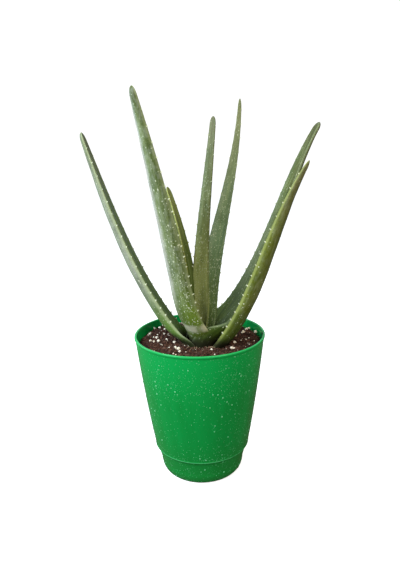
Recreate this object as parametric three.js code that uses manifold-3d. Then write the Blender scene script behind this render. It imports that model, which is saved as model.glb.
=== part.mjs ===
// A young aloe in a plain round pot with a clip-on water tray.
// Millimetres, +Z up. The origin is the middle of the tray's flat underside.
import * as THREE from 'three';
import { mergeVertices } from 'three/addons/utils/BufferGeometryUtils.js';
import Module from 'manifold-3d';

const wasm = await Module();
wasm.setup();

// ---- driving dimensions -------------------------------------------------

const GAP = 0.3; // clearance between pieces that touch
const LEAF_GAP = 0.5; // clearance between leaves, whose facets do not line up

const POT = {
  height: 141, // underside of the tray to the rim
  rimRadius: 62.5,
  rimRound: 0.5, // bevel on the rim's two edges
  seamHeight: 27.2, // the wall's lower edge, which the tray's lip meets
  seamRadius: 46.9,
  bulge: 3.9, // how far the wall stands out from a straight taper
  wall: 1.6,
  ledge: 9, // height over which the inside narrows to the foot
  footRadius: 43.1, // the foot that the tray clips onto
  footTaper: 1.5,
  footBottom: 20,
  floorTop: 22.2,
  drainHoles: 6,
  drainRadius: 3,
  drainCircle: 24,
  sides: 48,
};

const TRAY = {
  lipRadius: 45.6,
  lipRound: 0.4,
  bellyRadius: 41.5, // the rounded foot ends at this radius and height
  bellyHeight: 12,
  flatRadius: 36.2, // edge of the flat underside
  wall: 1.6,
  floor: 1.8,
};

const SOIL = {
  top: 134.2,
  edge: 131, // the surface drops to this where it meets the wall
  clear: 0.5, // clearance to the pot's faceted wall
  relief: 0.8, // height of the lumps in the surface
  rings: 6,
  sides: 32,
};

const PERLITE = { count: 36, smallest: 0.9, largest: 2.0, seed: 11 };
const CRUMBS = { count: 30, smallest: 1.0, largest: 2.3, seed: 29 };

const STEM = {
  y: -9, // the plant stands a little in front of the pot's axis
  // [height, radius] from the buried root end to the growing tip
  radii: [
    [106, 0], [106, 4.5], [118, 7.5], [129, 8.6], [134, 8.2],
    [139, 5.4], [143, 3.3], [152, 2.6], [155, 0],
  ],
  sides: 20,
};

// The plain hole in the soil that the clasping leaf bases stand in, as [radius, height].
const CROWN_WELL = [[0, 121], [11, 121], [12.5, 129], [13, 140], [0, 140]];

// Each leaf clasps the stem at "foot" height and leaves it towards "facing", in degrees
// round the stem from +X. "lean" (from upright) and "width" are given at the leaf's base,
// middle and tip, "roll" and "twist" turn the blade, and the teeth start at "teethFrom".
// The sheath at its base stays upright for about "hug", is wider by "flare" within
// "flareReach", opens within "opening" and thickens into the blade within "fleshing".
const LEAVES = [
  {
    name: 'leaf_middle', facing: 60, clasp: 4.5, foot: 141, length: 204,
    lean: [-7, 11.4, 11.3], width: [21, 12, 5], thick: 0.42, roll: 3, twist: 0,
    hug: 5, flare: 0, flareReach: 8, opening: 16, fleshing: 24,
    teethFrom: 62, colour: 0x7a8450,
  },
  {
    name: 'leaf_middle_right', facing: 45, clasp: 6.1, foot: 138.5, length: 226.8,
    lean: [2.1, 19.6, 3.1], width: [24.9, 12.7, 2.2], thick: 0.47, roll: 50, twist: 1.3,
    hug: 5, flare: 0, flareReach: 8, opening: 16, fleshing: 20,
    teethFrom: 30, colour: 0x5f7f55,
  },
  {
    name: 'leaf_left_back', facing: 150, clasp: 7.7, foot: 138, length: 145.5,
    lean: [-8.5, 10.2, 21], width: [18, 12, 6], thick: 0.42, roll: 0, twist: 0,
    hug: 5, flare: 4, flareReach: 8, opening: 16, fleshing: 24,
    teethFrom: 60, colour: 0x59653a,
  },
  {
    name: 'leaf_left', facing: 218, clasp: 9.1, foot: 136.5, length: 230.3,
    lean: [9.9, 13.3, 16.4], width: [28, 24.5, 9], thick: 0.45, roll: -9, twist: -9,
    hug: 5, flare: 12, flareReach: 26, opening: 18, fleshing: 24,
    teethFrom: 24, colour: 0x6f8458,
  },
  {
    name: 'leaf_right_back', facing: 28, clasp: 12.2, foot: 127.5, length: 246,
    lean: [55.8, 25.7, 37.2], width: [36, 21.4, 9], thick: 0.43, roll: 0, twist: -9,
    hug: 7, flare: 36, flareReach: 24, opening: 40, fleshing: 20,
    teethFrom: 30, colour: 0x4d6544,
  },
  {
    name: 'leaf_far_left', facing: 170, clasp: 13.8, foot: 129.5, length: 220.5,
    lean: [40.2, 22.9, 18.2], width: [22, 20, 8], thick: 0.44, roll: 7, twist: -2,
    hug: 5, flare: 20, flareReach: 12, opening: 30, fleshing: 16,
    teethFrom: 26, colour: 0x6d8062,
  },
  {
    name: 'leaf_far_right', facing: -25, clasp: 14.6, foot: 123, length: 198.5,
    lean: [43.3, 21.1, 31.8], width: [17, 19, 4.3], thick: 0.47, roll: -4.5, twist: -2,
    hug: 5, flare: 12, flareReach: 8, opening: 16, fleshing: 11,
    teethFrom: 30, colour: 0x77783a,
  },
];

const BLADE = {
  channel: 0.35, // how strongly the open blade is cupped
  sheath: 1.3, // thickness of the clasping sheath
  rollReach: 12, // distance in which the blade takes up its roll
  blunt: 7, // length of the rounded tip
  edge: 0.6, // thickness of the margin
  step: 0.25, // the leaf's middle line is walked in steps of this size
  outerShare: 0.78, // share of the thickness on the rounded outer face
  facets: 8, // facets across each face
  span: 20, // distance between cross-sections along the blade
};

const TOOTH = {
  root: 2.2, // length of a tooth's root along the margin
  height: 1.4,
  lean: 0.9, // how far the point leans towards the leaf's tip
  baseSpacing: 7,
  tipSpacing: 14,
  lastBefore: 9,
};

const COLOURS = {
  plastic: 0x12a05a,
  soil: 0x3b211a,
  stem: 0x3a3a24,
};

// ---- helpers --------------------------------------------------------------

const radians = (degrees) => (degrees * Math.PI) / 180;

// The curve through three values, given at s = 0, 0.5 and 1.
function quadratic([atBase, atMiddle, atTip], s) {
  const slope = -3 * atBase + 4 * atMiddle - atTip;
  const bend = 2 * atBase - 4 * atMiddle + 2 * atTip;
  return atBase + slope * s + bend * s * s;
}

// A repeatable stream of numbers between 0 and 1.
function seededRandom(seed) {
  let state = seed;
  return () => {
    state = (state * 1664525 + 1013904223) % 4294967296;
    return state / 4294967296;
  };
}

// Evenly spaced values, both ends included.
const evenly = (from, to, steps) =>
  Array.from({ length: steps + 1 }, (_, i) => from + ((to - from) * i) / steps);

function solidFrom(geometry) {
  geometry.deleteAttribute('normal');
  geometry.deleteAttribute('uv');
  const merged = mergeVertices(geometry);
  const vertProperties = new Float32Array(merged.attributes.position.array);
  const triVerts = new Uint32Array(merged.index.array);
  return new wasm.Manifold(new wasm.Mesh({ numProp: 3, vertProperties, triVerts }));
}

// A surface being put together: its vertices as one flat list, and its triangles.
const emptySurface = () => ({ positions: [], indices: [] });

function addVertex(surface, x, y, z) {
  surface.positions.push(x, y, z);
  return surface.positions.length / 3 - 1;
}

function solidFromSurface({ positions, indices }) {
  const geometry = new THREE.BufferGeometry();
  geometry.setAttribute('position', new THREE.Float32BufferAttribute(positions, 3));
  geometry.setIndex(indices);
  return solidFrom(geometry);
}

function largestBody(solid) {
  const bodies = solid.decompose();
  return bodies.reduce((best, body) => (body.volume() > best.volume() ? body : best));
}

function meshFrom(name, solid, colour, roughness) {
  const { vertProperties, triVerts } = solid.getMesh();
  const geometry = new THREE.BufferGeometry();
  geometry.setAttribute('position', new THREE.BufferAttribute(vertProperties, 3));
  geometry.setIndex(new THREE.BufferAttribute(triVerts, 1));
  geometry.computeVertexNormals();
  const material = new THREE.MeshStandardMaterial({ color: colour, roughness, metalness: 0 });
  const mesh = new THREE.Mesh(geometry, material);
  mesh.name = name;
  return mesh;
}

// Turns a profile of [radius, height] points about the Z axis.
function turned(profile, sides) {
  const points = profile.map(([radius, height]) => new THREE.Vector2(radius, height));
  return new THREE.LatheGeometry(points, sides).rotateX(Math.PI / 2);
}

// ---- pot and tray -----------------------------------------------------------

// Outer radius of the pot's wall: a straight taper plus a shallow parabola.
function wallRadius(height) {
  const down = (POT.height - height) / (POT.height - POT.seamHeight);
  const taper = POT.rimRadius + (POT.seamRadius - POT.rimRadius) * down;
  return taper + POT.bulge * down * (1 - down);
}

// Profile of the pot's inside from near the rim down to the floor, drawn in by "clear".
function insideProfile(topmost, clear) {
  const corner = 1.2;
  const foot = POT.footRadius - POT.wall - clear;
  const floor = POT.floorTop + clear;
  return [
    ...evenly(topmost, POT.seamHeight + POT.ledge, 4)
      .map((z) => [wallRadius(z) - POT.wall - clear, z]),
    [foot, POT.seamHeight + 1],
    [foot - corner, floor + corner],
    [foot - 2 * corner, floor],
  ];
}

function drainDrill(index) {
  const angle = (2 * Math.PI * index) / POT.drainHoles;
  const drill = new THREE.CylinderGeometry(POT.drainRadius, POT.drainRadius, 10, 12);
  drill.rotateX(Math.PI / 2);
  drill.translate(
    POT.drainCircle * Math.cos(angle),
    POT.drainCircle * Math.sin(angle),
    POT.footBottom,
  );
  return solidFrom(drill);
}

function potBody() {
  const { height, rimRadius, rimRound, seamHeight, seamRadius, wall } = POT;
  const { footRadius, footTaper, footBottom } = POT;
  const insideTop = height - 4;
  const profile = [
    [0, footBottom],
    [footRadius - footTaper - 1, footBottom],
    [footRadius - footTaper, footBottom + 1],
    [footRadius, seamHeight],
    [seamRadius - 0.7, seamHeight],
    ...evenly(seamHeight + 1, insideTop, 5).map((z) => [wallRadius(z), z]),
    [rimRadius, height - rimRound],
    [rimRadius - rimRound, height],
    [rimRadius - wall + rimRound, height],
    [rimRadius - wall, height - rimRound],
    ...insideProfile(insideTop, 0),
    [0, POT.floorTop],
  ];
  let body = solidFrom(turned(profile, POT.sides));
  for (let i = 0; i < POT.drainHoles; i += 1) {
    body = body.subtract(drainDrill(i));
  }
  return body;
}

// A quarter of an ellipse from the edge of a flat bottom out to the belly.
function roundedFoot(flatRadius, flatHeight, bellyRadius, bellyHeight) {
  return evenly(0, Math.PI / 2, 4).map((turn) => [
    flatRadius + (bellyRadius - flatRadius) * Math.sin(turn),
    flatHeight + (bellyHeight - flatHeight) * (1 - Math.cos(turn)),
  ]);
}

function waterTray() {
  const { lipRadius, lipRound, bellyRadius, bellyHeight, flatRadius, wall, floor } = TRAY;
  const lip = POT.seamHeight - GAP;
  const inside = roundedFoot(flatRadius - wall, floor, bellyRadius - wall, bellyHeight);
  const profile = [
    [0, 0],
    ...roundedFoot(flatRadius, 0, bellyRadius, bellyHeight),
    [lipRadius, lip - lipRound],
    [lipRadius - lipRound, lip],
    [lipRadius - wall, lip],
    ...inside.reverse(),
    [0, floor],
  ];
  return solidFrom(turned(profile, POT.sides));
}

// ---- leaves -----------------------------------------------------------------

// The middle line of a leaf, walked in small equal steps, with the directions along the
// leaf, across it and towards its inner face at each step.
function leafSpine(leaf) {
  const steps = Math.round(leaf.length / BLADE.step);
  const step = leaf.length / steps;
  const facing = radians(leaf.facing);
  const side = new THREE.Vector3(-Math.sin(facing), Math.cos(facing), 0);
  const place = new THREE.Vector3(
    leaf.clasp * Math.cos(facing),
    STEM.y + leaf.clasp * Math.sin(facing),
    leaf.foot,
  );
  const spine = [];
  for (let i = 0; i <= steps; i += 1) {
    const s = i / steps;
    const along = s * leaf.length;
    const lean = radians(quadratic(leaf.lean, s)) * (1 - Math.exp(-along / leaf.hug));
    const direction = new THREE.Vector3(
      Math.sin(lean) * Math.cos(facing),
      Math.sin(lean) * Math.sin(facing),
      Math.cos(lean),
    );
    const roll = radians(leaf.roll + leaf.twist * s) * (1 - Math.exp(-along / BLADE.rollReach));
    const across = side.clone().applyAxisAngle(direction, roll);
    const inward = new THREE.Vector3().crossVectors(direction, across);
    if (i > 0) {
      place.addScaledVector(direction, step / 2);
    }
    spine.push({ s, along, place: place.clone(), direction, across, inward });
    place.addScaledVector(direction, step / 2);
  }
  return spine;
}

function tipFactor(leaf, along) {
  const past = (along - (leaf.length - BLADE.blunt)) / BLADE.blunt;
  return past > 0 ? Math.sqrt(Math.max(0, 1 - past * past)) : 1;
}

// Share of the way from the thin sheath to the fleshy blade.
const fleshed = (leaf, along) => 1 - Math.exp(-((along / leaf.fleshing) ** 2));

const bladeWidth = (leaf, { s, along }) => quadratic(leaf.width, s) * tipFactor(leaf, along);

// Curvature of the blade's middle sheet: round the stem at the base, a shallow channel beyond.
function cupping(leaf, along, width) {
  const closed = Math.exp(-along / leaf.opening);
  return closed / leaf.clasp + ((2 * BLADE.channel) / Math.max(width, 3)) * (1 - closed);
}

// A point on the leaf: u runs from one margin (-1) to the other (+1). The middle sheet is an
// arc, and each face stands off it by half an ellipse.
function leafPoint(leaf, station, u, onInnerFace, grow) {
  const { along } = station;
  const blade = bladeWidth(leaf, station);
  const width = blade + leaf.flare * Math.exp(-((along / leaf.flareReach) ** 2)) + 2 * grow;
  const curve = cupping(leaf, along, width);
  const angle = (u * width * curve) / 2;
  const tip = tipFactor(leaf, along);
  const flesh = fleshed(leaf, along);
  const thickest = BLADE.sheath * tip * (1 - flesh) + blade * leaf.thick * flesh;
  const edge = BLADE.edge * tip;
  const thickness = edge + Math.max(0, thickest - edge) * Math.sqrt(Math.max(0, 1 - u * u));
  const share = onInnerFace ? 1 - BLADE.outerShare : BLADE.outerShare;
  const offset = (share * thickness + grow) * (onInnerFace ? 1 : -1);
  const x = Math.sin(angle) / curve - Math.sin(angle) * offset;
  const y = (1 - Math.cos(angle)) / curve + Math.cos(angle) * offset;
  return station.place.clone()
    .addScaledVector(station.across, x)
    .addScaledVector(station.inward, y);
}

// Distances along the leaf where cross-sections are taken: close together at the base and
// in the rounded tip.
function sectionPlaces(leaf) {
  const bladeStart = 34;
  const bladeEnd = leaf.length - BLADE.blunt;
  const places = [0, 5, 10, 16, 24, bladeStart];
  const spans = Math.round((bladeEnd - bladeStart) / BLADE.span);
  for (let i = 1; i <= spans; i += 1) {
    places.push(bladeStart + ((bladeEnd - bladeStart) * i) / spans);
  }
  places.push(bladeEnd + 0.5 * BLADE.blunt, bladeEnd + 0.82 * BLADE.blunt);
  return places;
}

// Middles of the teeth along one margin, further apart towards the tip. The two margins
// are out of step with each other.
function toothPlaces(leaf, margin) {
  const places = [];
  let along = leaf.teethFrom + (margin > 0 ? TOOTH.baseSpacing / 2 : 0);
  while (along < leaf.length - TOOTH.lastBefore) {
    places.push(along);
    const towardsTip = along / leaf.length;
    along += TOOTH.baseSpacing + (TOOTH.tipSpacing - TOOTH.baseSpacing) * towardsTip;
  }
  return places;
}

// Joins two rows of vertices that run along the leaf with triangles, always stepping along
// the row whose next vertex comes first.
function stitch(indices, rowA, rowB) {
  let [i, j] = [0, 0];
  while (i < rowA.length - 1 || j < rowB.length - 1) {
    const nextA = rowA[i + 1]?.along ?? Infinity;
    const nextB = rowB[j + 1]?.along ?? Infinity;
    if (nextA < nextB) {
      indices.push(rowA[i].index, rowB[j].index, rowA[i + 1].index);
      i += 1;
    } else {
      indices.push(rowA[i].index, rowB[j].index, rowB[j + 1].index);
      j += 1;
    }
  }
}

// The middle of the margin, between the two faces, drawn in from it by the factor "u".
function marginPoint(leaf, station, u, grow) {
  return leafPoint(leaf, station, u, false, grow)
    .add(leafPoint(leaf, station, u, true, grow))
    .multiplyScalar(0.5);
}

// The point of a tooth, standing out from the margin and leaning towards the tip.
function toothPoint(leaf, station, margin, grow) {
  const onMargin = marginPoint(leaf, station, margin, grow);
  const nearMargin = marginPoint(leaf, station, margin * 0.85, grow);
  const outward = onMargin.clone().sub(nearMargin).normalize();
  return onMargin
    .addScaledVector(outward, TOOTH.height)
    .addScaledVector(station.direction, TOOTH.lean);
}

// The distances along the leaf at which one row has a vertex. A margin's rows also have the
// roots of its teeth, and leave out the sections too close to them.
function rowPlaces(leaf, margin, grow) {
  const teeth = margin === 0 ? [] : toothPlaces(leaf, margin);
  const halfRoot = TOOTH.root / 2 + grow;
  const clearOfTeeth = (place) => teeth.every((at) => Math.abs(at - place) > TOOTH.root);
  const roots = teeth.flatMap((at) => [at - halfRoot, at + halfRoot]);
  return [...sectionPlaces(leaf).filter(clearOfTeeth), ...roots].sort((a, b) => a - b);
}

// Rows of vertices from base to tip, one after another round the section: over the outer face
// from margin -1 to +1, and back over the inner one. They are evenly spaced round the sheath
// and drawn out towards the margins along the blade.
function leafRows(leaf, stationAt, surface, grow) {
  const across = evenly(-1, 1, BLADE.facets);
  const outer = across.map((share) => ({ share, onInnerFace: false }));
  const inner = across.toReversed().map((share) => ({ share, onInnerFace: true }));
  return [...outer, ...inner].map(({ share, onInnerFace }) => {
    const margin = Math.abs(share) > 1 - 1e-9 ? Math.sign(share) : 0;
    return rowPlaces(leaf, margin, grow).map((along) => {
      const flesh = fleshed(leaf, along);
      const u = share * (1 - flesh) + Math.sin((share * Math.PI) / 2) * flesh;
      const { x, y, z } = leafPoint(leaf, stationAt(along), u, onInnerFace, grow);
      return { along, index: addVertex(surface, x, y, along === 0 ? z - grow : z) };
    });
  });
}

// Closes one margin between its two rows, with a small pyramid over each tooth's root.
function closeMargin(leaf, margin, [rowA, rowB], stationAt, surface, grow) {
  const teeth = toothPlaces(leaf, margin);
  for (let i = 0; i < rowA.length - 1; i += 1) {
    const [a, b] = [rowA[i].index, rowB[i].index];
    const [c, d] = [rowA[i + 1].index, rowB[i + 1].index];
    const middle = (rowA[i].along + rowA[i + 1].along) / 2;
    const tooth = teeth.find((at) => Math.abs(at - middle) < TOOTH.root / 4);
    if (tooth === undefined) {
      surface.indices.push(a, b, c, b, d, c);
    } else {
      const { x, y, z } = toothPoint(leaf, stationAt(tooth), margin, grow);
      const apex = addVertex(surface, x, y, z);
      surface.indices.push(a, b, apex, b, d, apex, d, c, apex, c, a, apex);
    }
  }
}

function closeBase(rows, { indices }) {
  const start = rows.map((row) => row[0].index);
  for (let k = 0; k < BLADE.facets; k += 1) {
    const [a, b] = [start[k], start[k + 1]];
    const [c, d] = [start[rows.length - 2 - k], start[rows.length - 1 - k]];
    indices.push(a, c, b, a, d, c);
  }
}

function closeTip(rows, tip, surface) {
  const pole = addVertex(surface, tip.x, tip.y, tip.z);
  const ends = rows.map((row) => row[row.length - 1].index);
  ends.forEach((end, k) => surface.indices.push(end, ends[(k + 1) % ends.length], pole));
}

// One whole leaf. "grow" gives the same leaf a little larger all round.
function leafBlade(leaf, grow = 0) {
  const spine = leafSpine(leaf);
  const last = spine.length - 1;
  const stationAt = (along) => spine[Math.round((along / leaf.length) * last)];
  const surface = emptySurface();
  const rows = leafRows(leaf, stationAt, surface, grow);
  rows.forEach((row, k) => {
    const pair = [row, rows[(k + 1) % rows.length]];
    if (k === BLADE.facets) {
      closeMargin(leaf, 1, pair, stationAt, surface, grow);
    } else if (k === rows.length - 1) {
      closeMargin(leaf, -1, pair, stationAt, surface, grow);
    } else {
      stitch(surface.indices, ...pair);
    }
  });
  closeBase(rows, surface);
  closeTip(rows, spine[last].place, surface);
  return solidFromSurface(surface);
}

// ---- stem and soil ------------------------------------------------------------

function stemSolid(grow = 0) {
  const profile = STEM.radii.map(([z, radius], i) => {
    const lowest = i < 2;
    const axis = radius === 0;
    return [axis ? 0 : radius + grow, z + (lowest ? -grow : 0) + (axis && !lowest ? grow : 0)];
  });
  return solidFrom(turned(profile, STEM.sides).translate(0, STEM.y, 0));
}

// Low uneven lumps, fading out towards the pot's wall.
function soilHeight(x, y) {
  const lumps = Math.sin(0.21 * x + 1.1) * Math.cos(0.19 * y - 0.4)
    + 0.6 * Math.sin(0.43 * x - 0.33 * y) + 0.5 * Math.cos(0.37 * x + 0.51 * y + 2);
  const calm = 1 - (Math.hypot(x, y) / POT.rimRadius) ** 4;
  return SOIL.top + SOIL.relief * lumps * calm;
}

function addSoilRow(surface, radius, height) {
  return evenly(0, 2 * Math.PI, SOIL.sides).slice(0, -1).map((angle) => {
    const [x, y] = [radius * Math.cos(angle), radius * Math.sin(angle)];
    return addVertex(surface, x, y, height ?? soilHeight(x, y));
  });
}

// The soil fills the pot: rings over its lumpy surface, then down along the pot's inside.
function soilMass() {
  const surface = emptySurface();
  const sides = insideProfile(SOIL.edge, SOIL.clear);
  const brow = sides[0][0] - 0.4;
  const top = addVertex(surface, 0, 0, soilHeight(0, 0));
  const rings = evenly(0, brow, SOIL.rings).slice(1).map((radius) => addSoilRow(surface, radius));
  const walls = sides.map(([radius, height]) => addSoilRow(surface, radius, height));
  const bottom = addVertex(surface, 0, 0, POT.floorTop + SOIL.clear);
  const rows = [...rings, ...walls];
  const lowest = rows[rows.length - 1];
  for (let i = 0; i < SOIL.sides; i += 1) {
    const next = (i + 1) % SOIL.sides;
    surface.indices.push(top, rows[0][i], rows[0][next]);
    for (let row = 0; row < rows.length - 1; row += 1) {
      const [a, b] = [rows[row][i], rows[row][next]];
      const [c, d] = [rows[row + 1][i], rows[row + 1][next]];
      surface.indices.push(a, c, b, b, c, d);
    }
    surface.indices.push(lowest[next], lowest[i], bottom);
  }
  return solidFromSurface(surface);
}

// Grains scattered over the surface and sunk to about half their height.
function grains({ count, smallest, largest, seed }, makeGrain) {
  const random = seededRandom(seed);
  const reach = wallRadius(SOIL.top) - 8;
  let heap = null;
  for (let i = 0; i < count; i += 1) {
    const angle = 2 * Math.PI * random();
    const radius = reach * Math.sqrt(random());
    const [x, y] = [radius * Math.cos(angle), radius * Math.sin(angle)];
    const size = smallest + (largest - smallest) * random() ** 2;
    const grain = makeGrain(size);
    grain.rotateX(Math.PI * random());
    grain.rotateZ(Math.PI * random());
    grain.translate(x, y, soilHeight(x, y) + 0.15 * size);
    const solid = solidFrom(grain);
    heap = heap ? heap.add(solid) : solid;
  }
  return heap;
}

function soilWithGrains() {
  const perlite = grains(PERLITE, (size) => new THREE.OctahedronGeometry(size).scale(1.2, 1, 0.9));
  const crumbs = grains(CRUMBS, (size) => new THREE.TetrahedronGeometry(size).scale(1.6, 1, 0.7));
  return soilMass().add(perlite).add(crumbs);
}

// ---- assembly -----------------------------------------------------------------

const plant = new THREE.Group();

plant.add(meshFrom('pot_body', potBody(), COLOURS.plastic, 0.3));
plant.add(meshFrom('water_tray', waterTray(), COLOURS.plastic, 0.3));
plant.add(meshFrom('stem', stemSolid(), COLOURS.stem, 0.8));

// From the innermost leaf outwards, each one gives way to those it wraps.
let inside = stemSolid(GAP);
for (const leaf of LEAVES) {
  const blade = largestBody(leafBlade(leaf).subtract(inside));
  plant.add(meshFrom(leaf.name, blade, leaf.colour, 0.5));
  inside = inside.add(leafBlade(leaf, LEAF_GAP));
}

const well = turned(CROWN_WELL, STEM.sides).translate(0, STEM.y, 0);
const planted = largestBody(soilWithGrains().subtract(inside.add(solidFrom(well))));
plant.add(meshFrom('soil', planted, COLOURS.soil, 0.95));

export default plant;
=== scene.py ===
# A young toothed-leaf aloe in a glossy green nursery pot with a clip-on water tray.
# Sizes in the dictionaries are millimetres unless a note says metres, angles are degrees and
# colours are 0 to 255.
import math

import bpy
import numpy as np
from mathutils import Matrix, Vector


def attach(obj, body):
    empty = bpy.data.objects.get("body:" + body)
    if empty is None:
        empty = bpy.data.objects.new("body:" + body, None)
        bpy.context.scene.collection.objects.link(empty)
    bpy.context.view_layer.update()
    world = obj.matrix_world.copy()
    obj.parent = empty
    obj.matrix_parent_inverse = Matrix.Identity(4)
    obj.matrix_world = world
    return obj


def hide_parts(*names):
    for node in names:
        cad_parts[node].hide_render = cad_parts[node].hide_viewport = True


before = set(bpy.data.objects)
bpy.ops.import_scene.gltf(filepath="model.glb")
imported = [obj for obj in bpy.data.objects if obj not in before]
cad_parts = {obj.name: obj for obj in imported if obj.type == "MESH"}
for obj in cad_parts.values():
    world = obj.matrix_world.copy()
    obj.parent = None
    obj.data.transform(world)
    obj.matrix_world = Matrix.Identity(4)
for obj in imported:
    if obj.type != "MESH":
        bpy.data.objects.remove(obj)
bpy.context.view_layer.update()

mm = 0.001


def newPiece(name, points, quads=(), tris=(), fields=None, smooth=True):
    # points in millimetres become one mesh object at the origin; fields are point attributes
    faces = np.asarray(quads).tolist() + np.asarray(tris).tolist()
    mesh = bpy.data.meshes.new(name)
    mesh.from_pydata(points * mm, [], faces, shade_flat=not smooth)
    for fieldName, values in (fields or {}).items():
        values = np.asarray(values, np.float32)
        kind, slot = ("FLOAT_VECTOR", "vector") if values.ndim == 2 else ("FLOAT", "value")
        mesh.attributes.new(fieldName, kind, "POINT").data.foreach_set(slot, values.ravel())
    mesh.validate()
    piece = bpy.data.objects.new(name, mesh)
    bpy.context.scene.collection.objects.link(piece)
    return piece


def xyz(*parts):
    # coordinates, or point numbers, side by side in the last axis, each spread to the same shape
    return np.stack(np.broadcast_arrays(*parts), -1)


def polar(radius, turn, *level):
    return xyz(radius * np.cos(turn), radius * np.sin(turn), *level)


def circle(sides):
    return np.linspace(0, 2 * np.pi, sides, endpoint=False)


def unit(vectors):
    return vectors / np.linalg.norm(vectors, axis=1, keepdims=True)


def gridQuads(rows, columns):
    # quads between neighbouring points of a rows x columns grid whose rows are closed rings
    row = np.arange(rows - 1)[:, None] * columns
    here = np.arange(columns)[None, :]
    after = (here + 1) % columns
    above = row + columns
    return xyz(row + here, row + after, above + after, above + here).reshape(-1, 4)


def fan(ring, pole, flip=False):
    # triangles from a closed ring of point numbers to one pole
    after = np.roll(ring, -1)
    first, second = (after, ring) if flip else (ring, after)
    return xyz(first, second, pole)


def lid(first, sides, flip=False):
    # triangles that close the ring of points numbered on from "first"
    k = first + np.arange(1, sides - 1)
    near, far = (k + 1, k) if flip else (k, k + 1)
    return xyz(first, near, far)


def turned(profile, sides):
    # point = (radius*cos(turn), radius*sin(turn), height); the profile's two ends are poles on the axis
    profile = np.asarray(profile, float)
    grid = polar(profile[1:-1, :1], circle(sides), profile[1:-1, 1:])
    rows = len(grid)
    points = np.concatenate([grid.reshape(-1, 3), [[0, 0, profile[0, 1]], [0, 0, profile[-1, 1]]]])
    ring, end = np.arange(sides), rows * sides
    tris = np.concatenate([fan(ring, end, flip=True), fan(end - sides + ring, end + 1)])
    return points, gridQuads(rows, sides), tris


def softened(corners, steps=4):
    # each [radius, height, round] corner of an outline becomes an arc of that rounding
    out = []
    for i, corner in enumerate(corners):
        here = np.array(corner[:2], float)
        rounding = corner[2] if len(corner) > 2 else 0
        if rounding == 0:
            out.append(here)
            continue
        before = np.array(corners[i - 1][:2], float) - here
        after = np.array(corners[i + 1][:2], float) - here
        reach = min(rounding, 0.45 * np.linalg.norm(before), 0.45 * np.linalg.norm(after))
        start = here + before / np.linalg.norm(before) * reach
        end = here + after / np.linalg.norm(after) * reach
        for t in np.linspace(0, 1, steps + 1):
            out.append((1 - t) ** 2 * start + 2 * t * (1 - t) * here + t ** 2 * end)
    return np.array(out)


def latticeNoise(x, y, cell, seed):
    # random numbers on a square lattice of that cell, blended with a smooth step; from -1 to 1
    gx, gy = x / cell, y / cell
    ix, iy = np.floor(gx), np.floor(gy)
    fx, fy = gx - ix, gy - iy
    fx, fy = fx * fx * (3 - 2 * fx), fy * fy * (3 - 2 * fy)

    def at(i, j):
        wave = np.sin(i * 127.1 + j * 311.7 + seed * 74.7) * 43758.5453
        return 2 * (wave - np.floor(wave)) - 1

    low = at(ix, iy) * (1 - fx) + at(ix + 1, iy) * fx
    high = at(ix, iy + 1) * (1 - fx) + at(ix + 1, iy + 1) * fx
    return low * (1 - fy) + high * fy


def smoothStep(value, low, high):
    t = np.clip((value - low) / (high - low), 0, 1)
    return t * t * (3 - 2 * t)


def ballPoints(rings, sides):
    # unit ball as rings between two poles, with its quads and triangles
    tilt = np.linspace(-np.pi / 2, np.pi / 2, rings + 2)
    return turned(np.stack([np.cos(tilt), np.sin(tilt)], -1), sides)


def copies(points, quads, tris, placed):
    # faces for many copies of one small shape, whose points "placed" are (copy, point, 3)
    shift = (np.arange(len(placed)) * len(points))[:, None, None]
    return (placed.reshape(-1, 3), (quads[None] + shift).reshape(-1, 4),
            (tris[None] + shift).reshape(-1, 3))


def placedOn(middles, points, scale, *axes):
    # one copy of the points at each middle, scaled along three axes of its own
    placed = middles[:, None]
    for k, axis in enumerate(axes):
        placed = placed + points[None, :, k, None] * scale[:, None, k, None] * axis[:, None]
    return placed


def turns(rng, count):
    # one random rotation matrix for each copy, from random unit quaternions
    w, x, y, z = unit(rng.normal(size=(count, 4))).T
    return np.stack([xyz(1 - 2 * (y * y + z * z), 2 * (x * y - z * w), 2 * (x * z + y * w)),
                     xyz(2 * (x * y + z * w), 1 - 2 * (x * x + z * z), 2 * (y * z - x * w)),
                     xyz(2 * (x * z - y * w), 2 * (y * z + x * w), 1 - 2 * (x * x + y * y))], 1)


def skewed(rng, low, high, count, power):
    # random numbers that gather towards the low end
    return low + (high - low) * rng.random(count) ** power


def colour(red, green, blue):
    # 0 to 255 screen colour as the linear colour that shaders use
    share = np.array([red, green, blue]) / 255
    linear = np.where(share <= 0.04045, share / 12.92, ((share + 0.055) / 1.055) ** 2.4)
    return (*[float(v) for v in linear], 1.0)


shading = {"tree": None}  # the node tree that is being built


def link(output, socket):
    shading["tree"].links.new(output, socket)


def addNode(kind, inputs=None, **settings):
    made = shading["tree"].nodes.new(kind)
    for key, value in settings.items():
        setattr(made, key, value)
    for key, value in (inputs or {}).items():
        if isinstance(value, bpy.types.NodeSocket):
            link(value, made.inputs[key])
        else:
            made.inputs[key].default_value = value
    return made


def maths(operation, first, second=0.0, clamp=False):
    return addNode("ShaderNodeMath", {0: first, 1: second},
                   operation=operation, use_clamp=clamp).outputs[0]


def times(first, *others, clamp=False):
    for other in others:
        first = maths("MULTIPLY", first, other, clamp)
    return first


def plus(first, second, clamp=False):
    return maths("ADD", first, second, clamp)


def band(value, low, high, lowOut=0.0, highOut=1.0):
    return addNode("ShaderNodeMapRange", {
        "Value": value, "From Min": low, "From Max": high, "To Min": lowOut, "To Max": highOut,
    }, interpolation_type="SMOOTHSTEP").outputs[0]


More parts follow.
